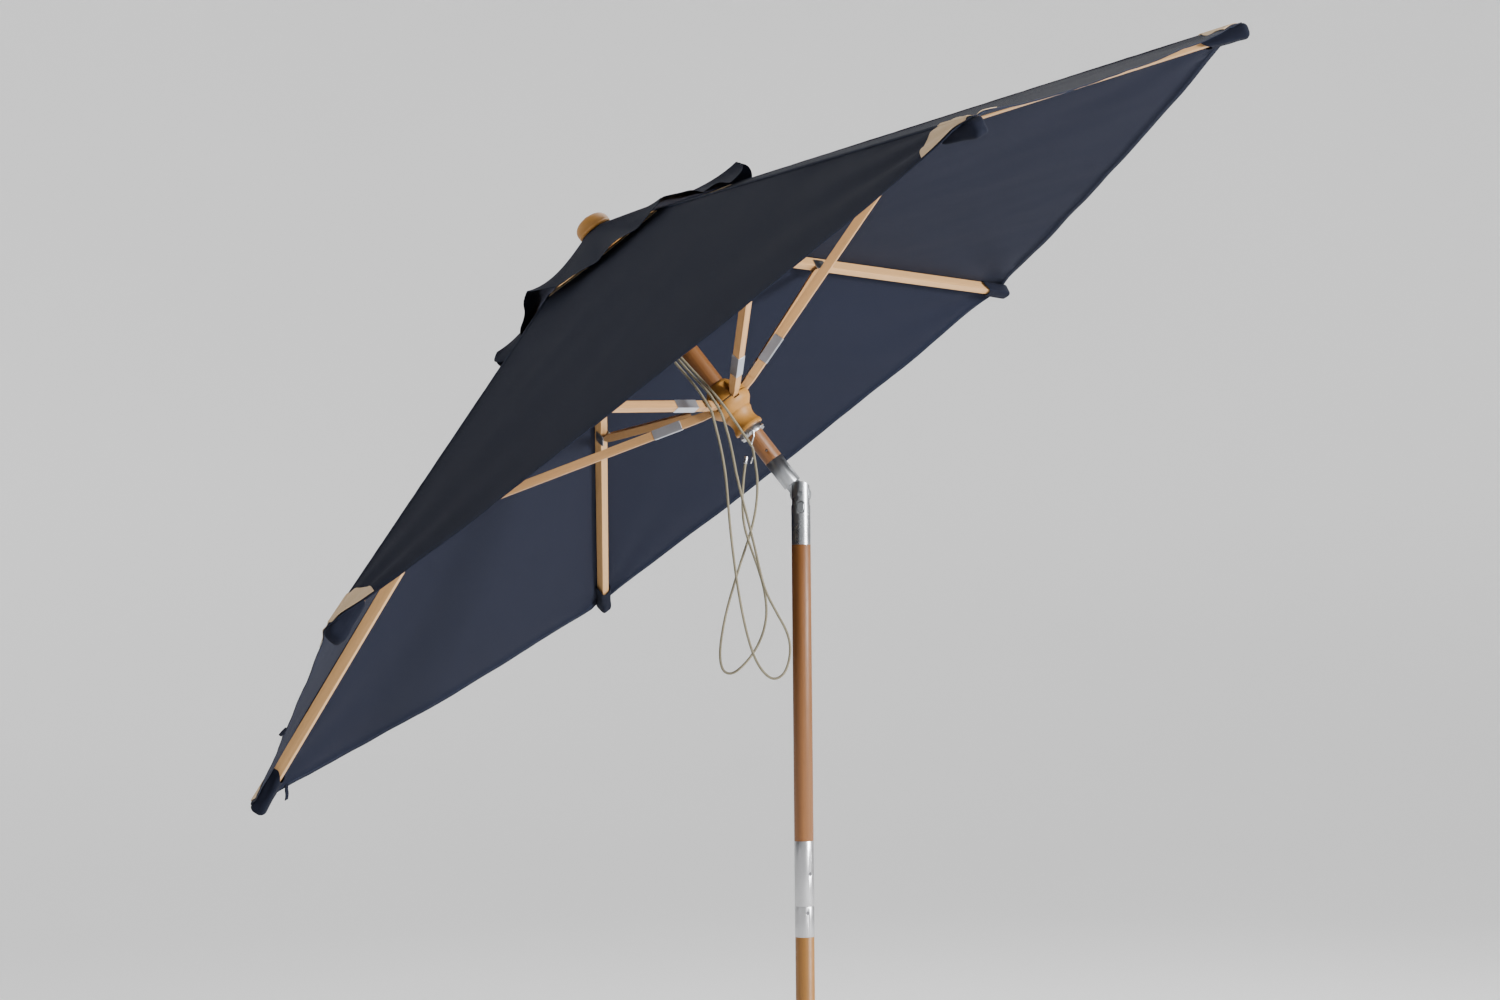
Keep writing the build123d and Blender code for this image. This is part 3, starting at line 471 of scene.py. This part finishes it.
def add_cords():
    runs = [
        ("cord_hoist", HOIST_ROUTE, "hoist_line", False, "object", "taut", ()),
        ("cord_standing", STANDING_ROUTE, "cord_standing_end", True, "object", "taut", ()),
        ("cord_front_loop", FRONT_LOOP_ROUTE, "cord_loop_front", False, "object", "hanging", ()),
        ("cord_back_loop", BACK_LOOP_ROUTE, "cord_loop_back", False, "fitting", "hanging",
         ("cord_end_ferrule", "cord_hook")),
    ]
    for name, route, node, back, far_end, lay, ends in runs:
        line, length = nurbs_line(route, 0.0013)
        if back:
            line = line[::-1].copy()
        made = add_tube(name, line, CORD / 2, beige_braid, 16, braided)
        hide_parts(node)
        if node in ("hoist_line", "cord_standing_end"):
            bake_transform(made)
        elif node == "cord_loop_front":
            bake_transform(made)
        else:
            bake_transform(made)


# ---- canopy ----
def seam_point(number, radius):
    """On the cloth's inner face above rib number, at that distance from the head's axis."""
    return PIVOT + spoke_out(number) * radius + A * (APEX_H - radius * tan(RIB_SLOPE))


def panel_directions(number):
    """Across a panel, down its slope, and out of it."""
    across = (spoke_out(number + 1) - spoke_out(number)).normalized()
    down = (seam_point(number, 1) + seam_point(number + 1, 1)
            - seam_point(number, 0) - seam_point(number + 1, 0)).normalized()
    return across, down, across.cross(down) * (1 if across.cross(down).dot(A) > 0 else -1)


def cloth_lift(number, radius, t):
    """How far the cloth hangs straight down, and how far wrinkles push it outwards."""
    share = radius / CANOPY_R
    middle = 4 * t * (1 - t)
    sag = 0.0155 * share**2.2 * middle + 0.004 * sin(pi * min(1, share)) * middle
    off_seam = min(t, 1 - t) * radius
    place = Vector((t * radius * 5.5, radius * 2.4, 5.3 * number))
    slack = 0.0030 * noise.noise(place) + 0.0011 * noise.noise(place * 3.1)
    drawn = 0.0009 * sin(radius * 2 * pi / 0.034 + number) * exp(-off_seam / 0.018)
    to_hem = (CANOPY_R - radius) * SLOPE_PER_R
    corner = 0.0035 * sin(atan2(to_hem + 0.02, off_seam + 0.02) * 9 + number)
    corner *= exp(-hypot(to_hem, off_seam) / 0.22)
    fade = min(1, off_seam / 0.03)
    return sag, (slack + drawn + corner) * fade * min(1, (radius - VENT_R) / 0.05 + 0.1)


def cloth_point(number, radius, t, off=0.0):
    """A point of panel number's cloth, off above its inner face."""
    out = panel_directions(number)[2]
    sag, push = cloth_lift(number, min(radius, CANOPY_R), t)
    flat = seam_point(number, radius).lerp(seam_point(number + 1, radius), t)
    return flat - Vector((0, 0, sag)) + out * (push + off)


def cloth_grid(number, radii, shares, off):
    """Grid of cloth points; shares gives the columns' t at each radius, off each row's lift."""
    return np.array([[cloth_point(number, r, t, o) for t in shares(r)] for r, o in zip(radii, off)])


def cloth_uvs(radii, shares):
    return np.array([[((t - 0.5) * r, r * SLOPE_PER_R) for t in shares(r)] for r in radii])


def whole_width(count):
    def shares(radius):
        side = SEAM_GAP / radius
        return [side + (1 - 2 * side) * i / count for i in range(count + 1)]
    return shares


def with_panel(piece, number):
    """Rides a panel and narrows with it, as the ribs close on each other."""
    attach(piece, f"panel_{panel_name(number)}")
    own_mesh(piece)


def panel_name(number):
    return LETTERS[number] + LETTERS[(number + 1) % SPOKES]


def hem_stitches(number):
    """Two rows along the hem, one on each face of the cloth."""
    out = panel_directions(number)[2]
    radius = CANOPY_R - HEM_ROW / SLOPE_PER_R
    count = int(radius / 0.0052)
    dashes = []
    for i in range(count):
        t = (i + 0.5) / count
        for off in (-0.0013, CLOTH + 0.0001):
            along = cloth_point(number, radius, t + 0.001, off) - cloth_point(number, radius, t - 0.001, off)
            dashes.append((cloth_point(number, radius, t, off), along.normalized(), out))
    piece = add_dashes(f"hem_stitches_{panel_name(number)}", dashes, navy_thread)
    with_panel(piece, number)
    return piece


def tip_patch(number, right):
    """Half of the beige patch over a canopy corner, on the outer face, its edge cut a little wavy."""
    rows, columns = 24, 24
    corner_t, edge = (1, -1) if right else (0, 1)
    inner, outer, uvs = [], [], []
    for i in range(rows + 1):
        p = 0.10 + 0.90 * i / rows
        line = []
        for j in range(columns + 1):
            q = j / columns
            radius = CANOPY_R - 0.0040 - p * (1 - q) * PATCH_BACK
            offset = p * q * PATCH_WIDE + 0.0004
            radius -= (0.014 * sin(pi * q) + 0.0012 * sin(19 * q + number)) * p
            line.append((radius, corner_t + edge * offset / radius))
        inner.append([cloth_point(number, r, t, CLOTH + PATCH_UP[0]) for r, t in line])
        outer.append([cloth_point(number, r, t, CLOTH + PATCH_UP[1]) for r, t in line])
        uvs.append([((t - 0.5) * r, r) for r, t in line])
    side = LETTERS[(number + right) % SPOKES]
    piece = add_sheet(f"tip_patch_{panel_name(number)}_{side}", np.array(inner), np.array(outer),
                      np.array(uvs), beige_cloth)
    with_panel(piece, number)
    return piece


def vent_binding(number):
    """Beige tape folded over the inner edge of a panel, where the vent opens."""
    shares = whole_width(24)
    radii = [VENT_R - 0.0016, VENT_R + 0.004, VENT_R + 0.009, VENT_R + 0.0145]
    piece = add_sheet(
        f"vent_binding_{panel_name(number)}",
        cloth_grid(number, radii, shares, [-0.0007] * 4),
        cloth_grid(number, radii, shares, [CLOTH + 0.0007] * 4),
        cloth_uvs(radii, shares), beige_cloth,
    )
    with_panel(piece, number)
    return piece


def add_panels():
    """Each panel is one sagging sheet with a folded hem, cut as a trapezium."""
    shares = whole_width(64)
    hem_from = CANOPY_R - HEM / SLOPE_PER_R
    radii = list(np.linspace(VENT_R, hem_from - 0.001, 52)) + [hem_from, hem_from + 0.006, CANOPY_R]
    folded = [0.0] * 52 + [-0.0010] * 3
    for number in range(SPOKES):
        name = panel_name(number)
        inner = cloth_grid(number, radii, shares, folded)
        outer = cloth_grid(number, radii, shares, [CLOTH] * len(radii))
        panel = add_sheet(f"canopy_{name}", inner, outer, cloth_uvs(radii, shares), navy_cloth)
        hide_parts(f"canopy_panel_{name}")
        with_panel(panel, number)
        extras = [hem_stitches(number), tip_patch(number, 0), tip_patch(number, 1),
                  vent_binding(number)]


def seam_strip(name, number, radii, lift, material):
    """A strip over a rib, its middle raised over the felled seam."""
    inner, outer, uvs = [], [], []
    for radius in radii:
        wobble = 0.0006 * noise.noise(Vector((radius * 40, number, 0)))
        left = cloth_point(number - 1, radius, 1 - SEAM_HALF / radius, CLOTH)
        right = cloth_point(number, radius, SEAM_HALF / radius, CLOTH)
        top = seam_point(number, radius) + A * (CLOTH + 0.0004) / cos(RIB_SLOPE)
        bars = [left, left.lerp(top, 0.5), top, right.lerp(top, 0.5), right]
        inner.append([p + A * (lift + 0.0001) for p in bars])
        outer.append([p + A * (lift + 0.0009 + wobble) for p in bars])
        uvs.append([(0.003 * i, radius) for i in range(5)])
    strip = add_sheet(name, np.array(inner), np.array(outer), np.array(uvs), material)
    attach(strip, f"rib_{LETTERS[number]}")


def add_seams():
    """A felled seam over each rib with two rows of stitches, and the tip patches' fold at its end."""
    patch_top = CANOPY_R - PATCH_BACK
    taped = np.linspace(VENT_R + 0.002, patch_top, 60)
    folded = np.linspace(patch_top - 0.003, CANOPY_R - 0.012, 14)
    stitches = [VENT_R + i * STITCH for i in range(1, int((patch_top - VENT_R) / STITCH))]
    row = 0.0040
    for number in range(SPOKES):
        letter = LETTERS[number]
        seam_strip(f"seam_{letter}", number, taped, 0.0, navy_tape)
        seam_strip(f"tip_fold_{letter}", number, folded, PATCH_UP[1], beige_cloth)
        dashes = []
        along = (seam_point(number, 1) - seam_point(number, 0)).normalized()
        out = spoke_out(number).cross(along).cross(along).normalized()
        out = out if out.dot(A) > 0 else -out
        for radius in stitches:
            left = cloth_point(number - 1, radius, 1 - row / radius, CLOTH) + A * 0.0010
            right = cloth_point(number, radius, row / radius, CLOTH) + A * 0.0010
            dashes += [(left, along, out), (right, along, out)]
        sewn = add_dashes(f"seam_stitches_{letter}", dashes, navy_thread)
        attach(sewn, f"rib_{letter}")


# ---- vent cap ----
CAP_R, CAP_TOP_H = 0.330, 0.6712
CAP_RIM_H = APEX_H - CAP_R * tan(RIB_SLOPE) + 0.006
COLLAR_R = 0.033                            # edge clamped under the finial
CAP_CUT = 0.3                               # cloth from the collar to the rim


def cap_point(number, share, t, off=0.0):
    """On the loose cap over the vent: flat by the finial, ruffled and flipped up at its rim."""
    near = min(t, 1 - t)
    flip = exp(-((near / 0.17) ** 2))
    pleat = abs(sin(pi * (3.3 * t + 0.37 * number))) ** 1.4
    ripple = noise.noise(Vector((t * 4.5, 2.7 * number, share * 1.3)))
    reach = COLLAR_R + (CAP_R - COLLAR_R) * share
    reach += share**3 * (0.012 * ripple + 0.010 * pleat - 0.022 * exp(-((near / 0.05) ** 2)))
    height = CAP_TOP_H + (CAP_RIM_H - CAP_TOP_H) * (reach - COLLAR_R) / (CAP_R - COLLAR_R)
    lifted = 0.030 + 0.014 * sin(2.1 * (number + round(t)) + 0.6)
    loose = (1 - flip) * (0.009 * pleat + 0.006 * ripple)
    height += share**3 * (lifted * flip + loose) + 0.004 * sin(pi * share) * sin(2 * pi * t)
    side = SEAM_GAP / reach
    flat = spoke_out(number).lerp(spoke_out(number + 1), side + (1 - 2 * side) * t) * reach
    return PIVOT + flat + A * (height + off)


def add_cap():
    rows, columns = 30, 48
    for number in range(SPOKES):
        name = panel_name(number)
        inner, outer, uvs = [], [], []
        for i in range(rows + 1):
            share = i / rows
            inner.append([cap_point(number, share, j / columns) for j in range(columns + 1)])
            outer.append([cap_point(number, share, j / columns, CLOTH) for j in range(columns + 1)])
            wide, down = COLLAR_R + CAP_CUT * share, CAP_CUT * share
            uvs.append([((j / columns - 0.5) * wide, down) for j in range(columns + 1)])
        sector = add_sheet(f"vent_cap_{name}", np.array(inner), np.array(outer), np.array(uvs),
                           navy_cloth)
        with_panel(sector, number)
        if number == 0:
            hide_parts("vent_cap")


# ---- rib pockets and tie straps ----
POCKET_LONG, POCKET_CUT = 0.092, 0.022      # from the rib's end to the mouth, and the mouth's V
POCKET_WIDE, POCKET_TALL = 0.0145, 0.0140   # half its width and height at the mouth
POCKET_PAST = 0.0075                        # how far it goes on past the rib's end


def pocket_section(share, turn, number):
    """Place along the rib, and half width and height, of one point of a rib pocket."""
    below = max(0.0, -sin(turn))
    mouth = RIB_LONG - POCKET_LONG + POCKET_CUT * below**1.6
    place = mouth + (RIB_LONG + POCKET_PAST - mouth) * share
    close = 1 - max(0.0, (place - RIB_LONG - 0.0005) / 0.0070) ** 2 * 0.38
    lump = 0.0016 * noise.noise(Vector((place * 45, cos(turn) * 1.6, number + sin(turn) * 1.6)))
    flare = 0.0012 * (1 - share) ** 4
    square = (abs(cos(turn)) ** 5 + abs(sin(turn)) ** 5) ** -0.2
    wide = (POCKET_WIDE + lump + flare) * square * cos(turn) * close
    tall = (POCKET_TALL + 0.0020 * share + lump) * square * sin(turn) * close
    return place, wide, tall - 0.0017 - 0.0020 * share


def add_pockets():
    """A navy pocket closes over each rib's end, its mouth cut in a V underneath."""
    around, rings = 28, 16
    for number in range(SPOKES):
        out = spoke_out(number)
        start = PIVOT + out * CROWN_R + A * CROWN_H
        along = out * cos(RIB_SLOPE) - A * sin(RIB_SLOPE)
        side = A.cross(out).normalized()
        up = along.cross(side)
        up = up if up.dot(A) > 0 else -up
        vertices, uvs, faces = [], [], []
        for i in range(rings + 1):
            for j in range(around):
                turn = 2 * pi * j / around
                place, wide, tall = pocket_section(i / rings, turn, number)
                vertices.append(start + along * place + side * wide + up * tall)
                uvs.append((place, turn * 0.012))
        for i in range(rings):
            for j in range(around):
                k = (j + 1) % around
                faces.append((i * around + j, i * around + k, (i + 1) * around + k, (i + 1) * around + j))
        middle = len(vertices)
        vertices.append(start + along * (RIB_LONG + 0.0088) - up * 0.0042)
        uvs.append((RIB_LONG, 0))
        last = rings * around
        faces += [(last + j, last + (j + 1) % around, middle) for j in range(around)]
        pocket = add_mesh(f"rib_pocket_{LETTERS[number]}", vertices, faces, navy_pocket,
                          uvs, 180)
        thick = pocket.modifiers.new("cloth", "SOLIDIFY")
        thick.thickness = 0.0011
        thick.offset = -1
        smooth = pocket.modifiers.new("smooth", "SUBSURF")
        smooth.levels = smooth.render_levels = 1
        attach(pocket, f"rib_{LETTERS[number]}")


def add_ribbon(name, centres, width_way, wide, thick, material):
    """A flat strap that follows centres, its width along width_way."""
    line = np.array(centres, float)
    across = np.array(width_way.normalized())
    tangents = np.gradient(line, axis=0)
    normals = np.cross(tangents, across)
    normals /= np.linalg.norm(normals, axis=1)[:, None]
    steps = np.linspace(-0.5, 0.5, 5) * wide
    inner = line[:, None] + across * steps[None, :, None] - normals[:, None] * thick / 2
    outer = inner + normals[:, None] * thick
    reach = np.concatenate([[0], np.cumsum(np.linalg.norm(np.diff(line, axis=0), axis=1))])
    uvs = np.stack(np.broadcast_arrays(steps[None, :], reach[:, None]), -1)
    return add_sheet(name, inner, outer, uvs, material)


def add_straps():
    """The closing tie: a thin loop standing off one hem, and the tie's own end on the next."""
    across, down, out = panel_directions(3)
    root = cloth_point(3, CANOPY_R - 0.003, 0.53, CLOTH / 2)
    loop = [root + across * 0.036 * (i / 24 - 0.5) + (down + out * 0.3) * 0.012 * sin(pi * i / 24) ** 0.8
            for i in range(25)]
    with_panel(add_ribbon("tie_loop", loop, out, 0.005, 0.0014, navy_tape), 3)
    root = cloth_point(2, CANOPY_R - 0.012, 0.925, -0.0025)
    across = panel_directions(2)[0]
    tail = [root + Vector((0, 0, -0.0022 * i)) + across * 0.0010 * sin(i * 0.5) for i in range(15)]
    with_panel(add_ribbon("tie_end", tail, across, 0.009, 0.0018, navy_tape), 2)


# ---- looks of the CAD nodes ----
def dress(node, material, bevel=0.0, flat=False):
    """Gives a CAD node its material, smooth shading and, with a bevel, eased edges; flat keeps bars flat."""
    piece = frame["nodes"][node]
    piece.data.materials.clear()
    piece.data.materials.append(material)
    piece.data.polygons.foreach_set("use_smooth", np.ones(len(piece.data.polygons), dtype=bool))
    piece.modifiers.new("weld", "WELD").merge_threshold = 0.00001
    if bevel:
        eased = piece.modifiers.new("eased_edges", "BEVEL")
        eased.width = bevel
        eased.segments = 2
        eased.limit_method = "ANGLE"
        eased.angle_limit = radians(35)
        eased.harden_normals = not flat
    if flat:
        even = piece.modifiers.new("flat_faces", "WEIGHTED_NORMAL")
        even.mode = "FACE_AREA_WITH_ANGLE"
        return
    split = piece.modifiers.new("crisp_corners", "EDGE_SPLIT")
    split.split_angle = radians(35)


def dress_wood():
    up = Vector((0, 0, 1))
    pole_brown, lower_brown, turned_brown = (0.175, 0.068, 0.018), (0.235, 0.104, 0.021), (0.36, 0.165, 0.030)
    dress("lower_pole", wood("lower_pole_wood", up, lower_brown, 0.5), 0.0006)
    dress("mid_pole", wood("middle_pole_wood", up, pole_brown, 0.45), 0.0004)
    dress("upper_pole", wood("upper_pole_wood", A, pole_brown, 0.45), 0.0004)
    turned = wood("turned_hub_wood", A, turned_brown, 0.35, 0.50, 0.7)
    for node in ("runner", "crown"):
        dress(node, turned, 0.0005)
    dress("finial", turned)


def dress_metal():
    up = Vector((0, 0, 1))
    silver = metal("satin_silver", up, (0.43, 0.43, 0.44), 0.30)
    for node in ("lower_ferrule", "upper_ferrule", "coupling_spigot"):
        dress(node, silver, 0.0004)
    dress("tilt_fork", metal("brushed_fork_metal", up, (0.28, 0.29, 0.30), 0.26), 0.0006, True)
    dress("tilt_knuckle", metal("brushed_knuckle_metal", A, (0.33, 0.34, 0.355), 0.26), 0.0006)
    button = metal("button_metal", V, (0.22, 0.23, 0.24), 0.28, 500)
    dress("tilt_button", button, 0.0004)
    dress("tilt_pin", button, 0.0003)
    screw_steel = metal("dark_screw_steel", up, (0.16, 0.16, 0.17), 0.35)
    for node in ("lower_ferrule_screw", "upper_ferrule_screw"):
        dress(node, screw_steel)
    steel = metal("bright_steel", up, (0.55, 0.55, 0.55), 0.25)
    for node in ("pulley_axle", "button_spring", "crown_wire", "runner_wire"):
        dress(node, steel)
    bright = metal("bright_ring_metal", A, (0.50, 0.50, 0.51), 0.26, 500)
    for node in ("runner_ring", "cord_hook", "cord_end_ferrule", "pulley_block"):
        dress(node, bright, 0.0003)


def dress_spokes():
    """Ribs and struts in slightly different browns, with their sleeves and brackets."""
    for number, letter in enumerate(LETTERS):
        out = spoke_out(number)
        rib_way = out * cos(RIB_SLOPE) - A * sin(RIB_SLOPE)
        strut_way = out * cos(STRUT_SLOPE) + A * sin(STRUT_SLOPE)
        shade = 1 + 0.06 * sin(2.4 * number)
        rib_colour = tone((0.51, 0.292, 0.122), shade)[:3]
        strut_colour = tone((0.47, 0.255, 0.102), 2 - shade)[:3]
        rib_wood = wood(f"rib_wood_{letter}", rib_way, rib_colour, 0.5, 0.5, 1.3)
        strut_wood = wood(f"strut_wood_{letter}", strut_way, strut_colour, 0.5, 0.5, 1.3)
        sleeve_metal = metal(f"sleeve_metal_{letter}", strut_way, (0.54, 0.555, 0.60), 0.34)
        dress(f"rib_{letter}", rib_wood, 0.0008, True)
        dress(f"strut_{letter}", strut_wood, 0.0007, True)
        dress(f"rib_bracket_{letter}", metal(f"bracket_metal_{letter}", rib_way, (0.42, 0.42, 0.43)), 0.0003)
        dress(f"strut_sleeve_{letter}", sleeve_metal, 0.0005, True)


# ---- stage and light ----
def add_stage():
    """A pale floor that curves up into a round backdrop."""
    profile = [(3, 0), (6, 0), (8.5, 0), (10, 0.22), (11, 0.7), (11.7, 1.5), (12, 2.6), (12, 5), (12, 9)]
    around, under_foot = 96, 0.0005
    vertices = [(r * cos(2 * pi * j / around), r * sin(2 * pi * j / around), z - under_foot)
                for r, z in profile for j in range(around)]
    middle = len(vertices)
    vertices.append((0, 0, -under_foot))
    faces = [(middle, j, (j + 1) % around) for j in range(around)]
    for i in range(len(profile) - 1):
        for j in range(around):
            k = (j + 1) % around
            faces.append((i * around + j, (i + 1) * around + j, (i + 1) * around + k, i * around + k))
    paper = Shader("pale_floor", (0.92, 0.92, 0.92), 0.9)
    mottle = paper.noise(paper.object_space((0, 0, 1), (0.6, 0.6, 0.6)), 2.0)
    paper.colour(paper.mix(mottle, (0.90, 0.90, 0.90, 1), (0.94, 0.94, 0.94, 1)))
    paper.set(Emission_Color=(1, 1, 1, 1), Emission_Strength=0.14)
    mesh = bpy.data.meshes.new("floor")
    mesh.from_pydata(vertices, [], faces)
    mesh.polygons.foreach_set("use_smooth", np.ones(len(mesh.polygons), dtype=bool))
    mesh.materials.append(paper.material)
    floor = bpy.data.objects.new("floor", mesh)
    bpy.context.collection.objects.link(floor)


def add_light(name, place, size, power):
    """A round lamp that looks at the middle of the parasol."""
    target = (0, 0, 1.9)
    data = bpy.data.lights.new(name, "AREA")
    data.shape = "DISK"
    data.size = size
    data.energy = power
    lamp = bpy.data.objects.new(name, data)
    lamp.location = place
    lamp.rotation_euler = (Vector(target) - Vector(place)).to_track_quat("-Z", "Y").to_euler()
    bpy.context.collection.objects.link(lamp)


def add_lights():
    world = bpy.data.worlds.new("studio")
    world.use_nodes = True
    world.node_tree.nodes["Background"].inputs["Color"].default_value = (1, 1, 1, 1)
    world.node_tree.nodes["Background"].inputs["Strength"].default_value = 0.30
    bpy.context.scene.world = world
    add_light("key", (5.2, -2.6, 2.6), 1.6, 720)
    add_light("top", (1.6, 2.4, 6.4), 6.0, 420)
    add_light("left", (-5.0, -3.0, 3.6), 2.6, 35)


add_camera()
add_cords()
add_panels()
add_seams()
add_cap()
add_pockets()
add_straps()
dress_wood()
dress_metal()
dress_spokes()
dress("pulley_wheel", plastic("pulley_nylon", (0.02, 0.02, 0.022)), 0.0003)
add_stage()
add_lights()
